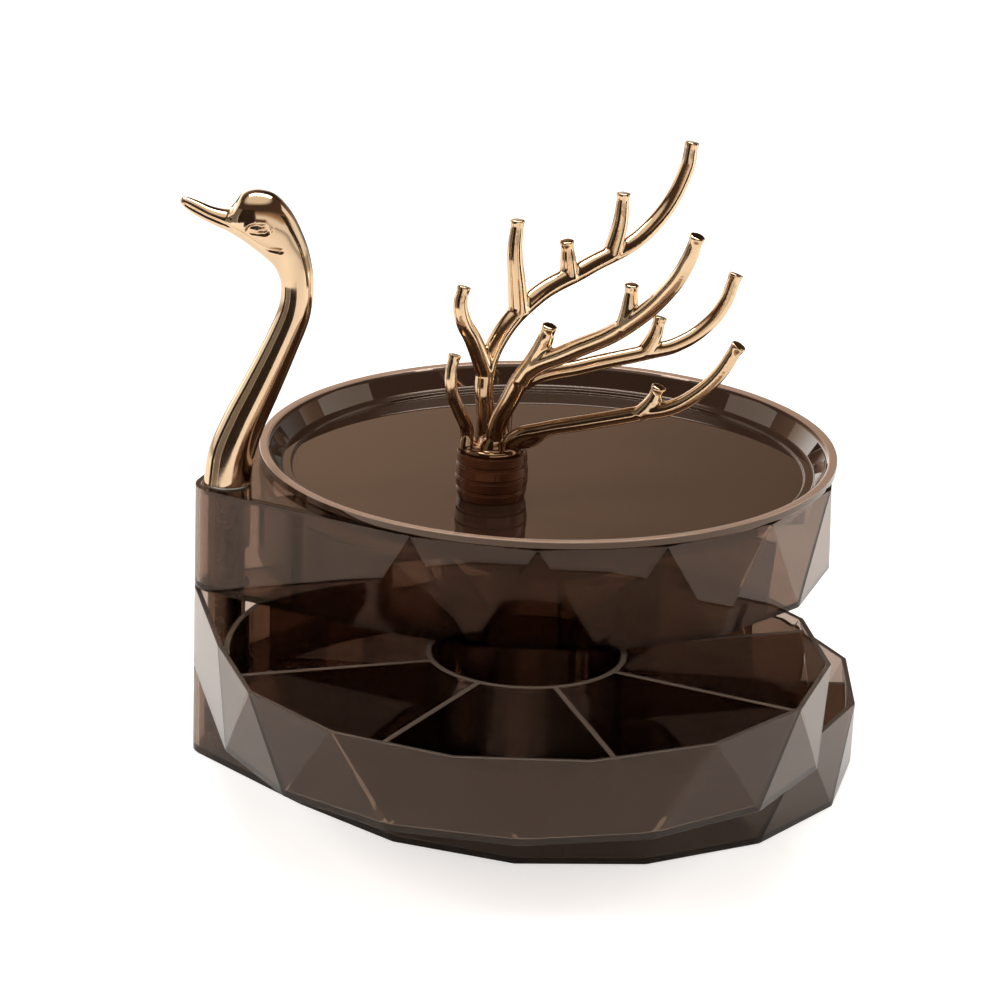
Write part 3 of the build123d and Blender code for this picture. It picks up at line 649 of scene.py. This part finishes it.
def cast(name, mesh, grain, smoothing, finish, body):
    """The shapes in a mesh fused into one skin, then relaxed."""
    piece = bpy.data.objects.new(name, mesh)
    bpy.context.scene.collection.objects.link(piece)
    fuse = piece.modifiers.new("fuse", "REMESH")
    fuse.mode = "VOXEL"
    fuse.voxel_size = grain
    fuse.use_smooth_shade = True
    relax = piece.modifiers.new("relax", "CORRECTIVE_SMOOTH")
    relax.factor = 0.6
    relax.iterations = smoothing
    relax.smooth_type = "LENGTH_WEIGHTED"
    relax.use_only_smooth = True
    shapes = bpy.context.evaluated_depsgraph_get()
    solid = bpy.data.meshes.new_from_object(piece.evaluated_get(shapes))
    solid.name = name
    piece.modifiers.clear()
    piece.data = solid
    solid.materials.clear()
    solid.materials.append(finish)
    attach(piece, body)
    print(name, "fused into", len(solid.polygons), "faces")
    return piece


tree_shapes = joined_mesh("tree", branch_bars, crown_shape)
tree = cast("branch_tree", tree_shapes, 0.4 * MM, 14, gold_finish, "lid")
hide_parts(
    "tree_crown", "rear_branch", "front_branch", "low_rear_branch", "low_front_branch", "side_twig",
)

# %% [markdown]
# The swan's neck rises from the deck in one S, thins under the head, swells into it and runs out in
# the bill. Each ring is an oval between a place on the front outline and one on the back, so the
# outline can be read straight off the list; a smooth curve through the rings gives the skin.

# %% Rings of the swan
bolt_head_radius = 3.8
post_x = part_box("pivot_bolt")[0].x / MM + bolt_head_radius
neck_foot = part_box("swan_neck")[0].z / MM
swan_rings = [
    ((-8.2, 0.0), (8.0, 0.0), 7.6),
    ((-6.5, 11.8), (8.7, 7.8), 7.3),
    ((-1.6, 24.0), (11.9, 19.0), 6.8),
    ((5.4, 37.8), (17.2, 32.3), 6.1),
    ((11.9, 51.2), (22.7, 46.6), 5.6),
    ((16.2, 62.0), (27.0, 59.0), 5.4),
    ((17.0, 70.0), (28.0, 71.0), 5.4),
    ((14.8, 76.0), (26.4, 81.0), 5.8),
    ((11.2, 79.6), (23.6, 88.8), 6.6),
    ((7.4, 82.6), (20.0, 95.6), 7.6),
    ((3.8, 85.3), (14.8, 101.0), 8.0),
    ((1.0, 87.0), (8.8, 102.6), 7.6),
    ((-1.0, 88.2), (4.2, 101.4), 6.4),
    ((-2.5, 88.9), (1.5, 98.0), 5.1),
    ((-4.2, 89.6), (-1.0, 95.7), 4.4),
    ((-8.0, 91.4), (-5.8, 96.3), 3.7),
    ((-12.0, 93.5), (-10.2, 98.0), 3.0),
    ((-15.0, 95.6), (-13.7, 99.3), 2.3),
    ((-16.5, 97.1), (-15.7, 99.6), 1.5),
    ((-16.9, 98.2), (-16.6, 99.1), 0.5),
]
print(len(swan_rings), "rings from the foot to the tip of the bill")

# %% [markdown]
# Between two listed rings the neck must not show a corner, so every value of a ring, such as its half
# width, is read from a smooth curve through that value of its neighbours.

# %% Smooth curve through values
def through(values, share):
    """A smooth curve through evenly counted values, read at a share of its whole length."""
    place = share * (len(values) - 1)
    index = min(int(place), len(values) - 2)
    t = place - index
    before, first = values[max(index - 1, 0)], values[index]
    second, after = values[index + 1], values[min(index + 2, len(values) - 1)]
    return 0.5 * (
        2 * first + (second - before) * t + (2 * before - 5 * first + 4 * second - after) * t ** 2
        + (3 * first - before - 3 * second + after) * t ** 3
    )


widths = [ring[2] for ring in swan_rings]
print("neck half way along:", round(2 * through(widths, 0.5), 1), "mm wide")

# %% [markdown]
# Eye and cheek are pressed into the skin afterwards: every point near them moves along its normal by a
# smooth bell of its distance. A raised lens, a groove round it, a brow over it and the fold between
# cheek and jaw are what the plating picks out as dark and light lines.

# %% Relief of the head
def bell(distance, width):
    """1 at no distance, fading smoothly to nothing."""
    return 1 / (1 + (distance / width) ** 4)


def to_line(place, line):
    """Distance from a place to a line through points, all in the upright plane."""
    nearest = 1e9
    for start, end in zip(line, line[1:]):
        run = end - start
        share = max(0, min(1, (place - start).dot(run) / run.length_squared))
        nearest = min(nearest, (start + run * share - place).length)
    return nearest


def skin_relief(x, height, depth):
    """How far the skin stands out at a place on the side of the head, in millimetres."""
    eye = Vector((9.3, 90.9))
    eye_line = [Vector((7.2, 90.9)), Vector((11.4, 90.9))]
    brow = [Vector((5.2, 91.6)), Vector((8.0, 93.6)), Vector((11.4, 93.2)), Vector((13.8, 91.0))]
    fold = [
        Vector((-15.0, 97.2)),
        Vector((-8.0, 93.9)),
        Vector((-1.0, 91.3)),
        Vector((4.0, 88.9)),
        Vector((9.0, 85.4)),
        Vector((13.0, 83.6)),
        Vector((17.0, 83.2)),
    ]
    place = Vector((x, height))
    away = (place - eye).length
    rim = to_line(place, eye_line)
    side = min(1.0, abs(depth) / 2.0)
    relief = 0.55 * bell(away, 1.0) - 0.50 * bell(abs(rim - 1.3), 0.5)
    relief += 0.40 * bell(to_line(place, brow), 0.6)
    relief -= 0.60 * bell(to_line(place, fold), 0.6)
    return relief * side


print("skin stands out by", round(skin_relief(9.3, 90.9, 5.0), 2), "mm at the eye")

# %% [markdown]
# At each small step along the curve an oval is laid between its front and its back place, each point of
# it moves out by the relief, and four-sided faces join one oval to the next. The flat ends close it.

# %% Skin of the swan
def swan_skin(rings, steps, around):
    """The skin through the rings, closed at both ends, with the relief pressed in."""
    columns = list(zip(*((front[0], front[1], back[0], back[1], width) for front, back, width in rings)))
    work = bmesh.new()
    made = []
    for step in range(steps + 1):
        share = step / steps
        front_x, front_z, back_x, back_z, half_width = (through(column, share) for column in columns)
        front = Vector((post_x + front_x, 0, neck_foot + front_z))
        back = Vector((post_x + back_x, 0, neck_foot + back_z))
        middle, half = (front + back) / 2, (back - front) / 2
        ring = []
        for part in range(around):
            turn = 2 * pi * part / around
            place = middle + half * cos(turn) + Vector((0, half_width, 0)) * sin(turn)
            fore_and_aft = half.normalized() * cos(turn) * half_width
            outward = fore_and_aft + Vector((0, 1, 0)) * sin(turn) * half.length
            place += outward.normalized() * skin_relief(place.x - post_x, place.z - neck_foot, place.y)
            place.z = max(place.z, neck_foot)
            ring.append(work.verts.new(place * MM))
        made.append(ring)
    for first, second in zip(made, made[1:]):
        for part in range(around):
            following = (part + 1) % around
            work.faces.new((first[part], first[following], second[following], second[part]))
    work.faces.new(made[0])
    work.faces.new(made[-1])
    bmesh.ops.recalc_face_normals(work, faces=work.faces)
    mesh = bpy.data.meshes.new("swan_figure")
    work.to_mesh(mesh)
    work.free()
    for face in mesh.polygons:
        face.use_smooth = len(face.vertices) == 4
    return mesh


swan = bpy.data.objects.new("swan_figure", swan_skin(swan_rings, 420, 112))
bpy.context.scene.collection.objects.link(swan)
swan.data.materials.append(neck_finish)
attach(swan, "base")
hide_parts("swan_neck")
print("swan skin", len(swan.data.polygons), "faces")

# %% [markdown]
# What is left are the small parts that the solids already show well: the tube, the bolt, the insert, the
# washers, the screw and the plug. They keep their shapes and only get their finishes.

# %% Small parts
small_parts = {
    "pivot_sleeve": steel_finish,
    "pivot_bolt": steel_finish,
    "bolt_washer": steel_finish,
    "tree_screw": steel_finish,
    "neck_insert": insert_finish,
    "lower_washer": washer_finish,
    "upper_washer": washer_finish,
    "neck_washer": washer_finish,
    "base_plug": plug_finish,
}
for node, finish in small_parts.items():
    materials = frame["nodes"][node].data.materials
    materials.clear()
    materials.append(finish)
print(len(small_parts), "small parts finished")

# %% [markdown]
# The studio: a wide pale floor that shows white to the camera and through clear plastic, and less bright
# in mirrors, but still takes the object's shadow. The extra comes from its own glow for those rays only,
# so no more light falls on the object.

# %% Floor
def ray_strength(tree, straight_glow, mirror_glow):
    """A strength for rays from the camera and through clear plastic, another for mirrored rays, else 0."""
    path = tree.nodes.new("ShaderNodeLightPath")
    straight = tree.nodes.new("ShaderNodeMath")
    straight.operation = "MAXIMUM"
    tree.links.new(path.outputs["Is Camera Ray"], straight.inputs[0])
    tree.links.new(path.outputs["Is Transmission Ray"], straight.inputs[1])
    seen = tree.nodes.new("ShaderNodeMath")
    seen.operation = "MULTIPLY"
    seen.inputs[1].default_value = straight_glow
    tree.links.new(straight.outputs[0], seen.inputs[0])
    mirrored = tree.nodes.new("ShaderNodeMath")
    mirrored.operation = "MULTIPLY_ADD"
    mirrored.inputs[1].default_value = mirror_glow
    tree.links.new(path.outputs["Is Glossy Ray"], mirrored.inputs[0])
    tree.links.new(seen.outputs[0], mirrored.inputs[2])
    return mirrored.outputs[0]


floor_mesh = bpy.data.meshes.new("floor")
floor_work = bmesh.new()
bmesh.ops.create_circle(floor_work, cap_ends=True, segments=96, radius=6.0)
floor_work.to_mesh(floor_mesh)
floor_work.free()
floor = bpy.data.objects.new("floor", floor_mesh)
floor.location.z = -0.2 * MM
bpy.context.scene.collection.objects.link(floor)
floor_finish, floor_tree, floor_shader = finish_nodes("floor_paper")
floor_shader.inputs["Base Color"].default_value = (0.78, 0.78, 0.78, 1)
floor_shader.inputs["Roughness"].default_value = 0.9
floor_shader.inputs["Emission Color"].default_value = (1, 1, 1, 1)
floor_tree.links.new(ray_strength(floor_tree, 0.55, 0.12), floor_shader.inputs["Emission Strength"])
floor_mesh.materials.append(floor_finish)
print("floor", round(floor.dimensions.x, 1), "m across")

# %% [markdown]
# Right under the base hardly any light reaches the table, but the glow of the paper knows nothing of
# that. A dark sheet with the outline of the base lies there and keeps the trays' insides dark.

# %% Shade under the base
def outline(points):
    """The points on the outside of a flat set, in order round it."""
    def half(ordered):
        kept = []
        for point in ordered:
            while len(kept) > 1 and (kept[-1] - kept[-2]).cross(point - kept[-2]) <= 0:
                kept.pop()
            kept.append(point)
        return kept[:-1]

    ordered = sorted(points, key=lambda point: (point.x, point.y))
    return half(ordered) + half(ordered[::-1])


base_mesh = frame["nodes"]["base_tray"].data
foot_points = [vertex.co.xy for vertex in base_mesh.vertices if vertex.co.z < 0.01 * MM]
foot_outline = outline(foot_points)
print("outline of the base has", len(foot_outline), "points")
shade_work = bmesh.new()
shade_reach, shade_level = 0.985, -0.1 * MM
shade_corners = []
for point in foot_outline:
    shade_corners.append(shade_work.verts.new((point.x * shade_reach, point.y * shade_reach, shade_level)))
shade_work.faces.new(shade_corners)
shade_mesh = bpy.data.meshes.new("shade_under_base")
shade_work.to_mesh(shade_mesh)
shade_work.free()
shade = bpy.data.objects.new("shade_under_base", shade_mesh)
bpy.context.scene.collection.objects.link(shade)
shade_finish, _, shade_shader = finish_nodes("shaded_paper")
shade_shader.inputs["Base Color"].default_value = (0.020, 0.014, 0.011, 1)
shade_shader.inputs["Roughness"].default_value = 1.0
shade_mesh.materials.append(shade_finish)

# %% [markdown]
# Round the set the white backdrop fades upwards to a warm tan and then to a dim brown room, with a pale
# panel overhead; behind the set it is brighter on the left and dimmer on the right. Gold, lid and smoky
# walls mirror all of it, which gives them their warm gradients; to the camera, and through clear plastic,
# the whole room is plain white.

# %% Room
world = bpy.data.worlds.new("room")
bpy.context.scene.world = world
world.use_nodes = True
room = world.node_tree
room_shade = room.nodes["Background"]
direction = room.nodes.new("ShaderNodeTexCoord")
axes = room.nodes.new("ShaderNodeSeparateXYZ")
room.links.new(direction.outputs["Generated"], axes.inputs[0])
walls = room.nodes.new("ShaderNodeValToRGB")
room_heights = [
    (0.00, (0.90, 0.88, 0.86, 1)),
    (0.13, (0.90, 0.87, 0.84, 1)),
    (0.27, (0.42, 0.28, 0.19, 1)),
    (0.46, (0.07, 0.045, 0.032, 1)),
    (0.78, (0.06, 0.040, 0.030, 1)),
    (0.90, (0.85, 0.78, 0.70, 1)),
]
for position, colour in room_heights[2:]:
    walls.color_ramp.elements.new(position)
for stop, (position, colour) in zip(walls.color_ramp.elements, room_heights):
    stop.position = position
    stop.color = colour
room.links.new(axes.outputs["Z"], walls.inputs["Fac"])
across = room.nodes.new("ShaderNodeMapRange")
across.inputs["From Min"].default_value = -0.12
across.inputs["From Max"].default_value = 0.14
across.inputs["To Min"].default_value = 2.1
across.inputs["To Max"].default_value = 0.25
room.links.new(axes.outputs["X"], across.inputs["Value"])
behind = room.nodes.new("ShaderNodeMath")
behind.operation = "GREATER_THAN"
behind.inputs[1].default_value = 0.6
room.links.new(axes.outputs["Y"], behind.inputs[0])
fading = room.nodes.new("ShaderNodeMix")
fading.inputs["A"].default_value = 1.0
room.links.new(behind.outputs[0], fading.inputs["Factor"])
room.links.new(across.outputs["Result"], fading.inputs["B"])
dimmed = room.nodes.new("ShaderNodeVectorMath")
dimmed.operation = "SCALE"
room.links.new(walls.outputs["Color"], dimmed.inputs["Vector"])
room.links.new(fading.outputs["Result"], dimmed.inputs["Scale"])
white = room.nodes.new("ShaderNodeMix")
white.data_type = "RGBA"
white.inputs["B"].default_value = (1, 1, 1, 1)
path = room.nodes.new("ShaderNodeLightPath")
straight = room.nodes.new("ShaderNodeMath")
straight.operation = "MAXIMUM"
room.links.new(path.outputs["Is Camera Ray"], straight.inputs[0])
room.links.new(path.outputs["Is Transmission Ray"], straight.inputs[1])
room.links.new(straight.outputs[0], white.inputs["Factor"])
room.links.new(dimmed.outputs["Vector"], white.inputs["A"])
room.links.new(white.outputs["Result"], room_shade.inputs["Color"])
print("room with", len(walls.color_ramp.elements), "heights")

# %% [markdown]
# A photographer of polished metal sets cards round it, because gold in an even room looks flat: black
# ones for dark bands, white ones for light streaks, and a grey one between two of the black. These are
# curved upright cards that only mirrors can see. They light nothing, shade nothing and don't show through
# the clear plastic.

# %% Cards for the reflections
def card_finish(name, first, second, glow):
    """Matt card in two near tones, with a glow of its own."""
    material, tree, shader = finish_nodes(name)
    tree.links.new(two_tone(tree, speckle(tree, 80 * MM), first, second), shader.inputs["Base Color"])
    shader.inputs["Roughness"].default_value = 1.0
    shader.inputs["Emission Color"].default_value = (1.0, 0.95, 0.88, 1)
    shader.inputs["Emission Strength"].default_value = glow
    return material


def card(name, finish, first_angle, last_angle, distance, low, high):
    """An upright curved card round the set, between two directions in degrees."""
    work = bmesh.new()
    steps = 24
    columns = []
    for step in range(steps + 1):
        turn = radians(first_angle + (last_angle - first_angle) * step / steps)
        x, y = distance * cos(turn), distance * sin(turn)
        columns.append([work.verts.new((x, y, low)), work.verts.new((x, y, high))])
    for first, second in zip(columns, columns[1:]):
        work.faces.new((first[0], second[0], second[1], first[1]))
    mesh = bpy.data.meshes.new(name)
    work.to_mesh(mesh)
    work.free()
    sheet = bpy.data.objects.new(name, mesh)
    bpy.context.scene.collection.objects.link(sheet)
    mesh.materials.append(finish)
    sheet.visible_camera = False
    sheet.visible_diffuse = False
    sheet.visible_transmission = False
    sheet.visible_shadow = False
    return sheet


dark_card = card_finish("dark_card", (0.020, 0.011, 0.007), (0.010, 0.006, 0.004), 0.0)
white_card = card_finish("white_card", (0.10, 0.10, 0.10), (0.09, 0.09, 0.09), 0.85)
grey_card = card_finish("grey_card", (0.10, 0.09, 0.08), (0.08, 0.07, 0.06), 0.08)
card("front_left_card", dark_card, 214, 257, 0.50, 0.0, 0.45)
card("left_grey_card", grey_card, 189, 213, 0.50, 0.0, 0.45)
card("left_card", dark_card, 174, 188, 0.50, 0.0, 0.45)
card("right_card", dark_card, 332, 356, 0.50, 0.0, 0.45)
card("back_card", dark_card, 62, 116, 0.75, 0.0, 0.15)
card("left_white_card", white_card, 146, 172, 0.80, 0.22, 0.70)
card("right_white_card", white_card, 6, 34, 0.80, 0.22, 0.70)
print("four dark cards, a grey one and two white ones")

# %% [markdown]
# Soft boxes stand left and right and one hangs overhead, with a weak one at the front. Three of them
# only light the object, so what polished faces show is the room and the cards. The one overhead is
# mirrored as well, and draws the thin bright line along ribs and rims.

# %% Soft boxes
def soft_box(name, place, width, height, power, mirrored):
    """A rectangular lamp at a place, facing the object, that polished faces mirror or don't."""
    lamp = bpy.data.lights.new(name, "AREA")
    lamp.shape = "RECTANGLE"
    lamp.size = width
    lamp.size_y = height
    lamp.energy = power
    lamp.color = (1, 0.97, 0.93)
    holder = bpy.data.objects.new(name, lamp)
    bpy.context.scene.collection.objects.link(holder)
    holder.location = place
    holder.rotation_euler = (Vector((0, 0, 0.10)) - Vector(place)).to_track_quat("-Z", "Y").to_euler()
    holder.visible_glossy = mirrored
    return holder


soft_box("left_box", (-1.15, -0.35, 0.60), 0.5, 0.9, 13, False)
soft_box("right_box", (1.15, -0.10, 0.55), 0.5, 0.9, 11, False)
soft_box("top_box", (0.0, 0.45, 1.20), 1.0, 0.35, 8, True)
soft_box("front_fill", (-0.2, -1.9, 0.5), 0.8, 0.5, 4, False)

# %% [markdown]
# The last step sets the plain colour handling.

# %% Finish
bpy.context.scene.view_settings.view_transform = "Standard"
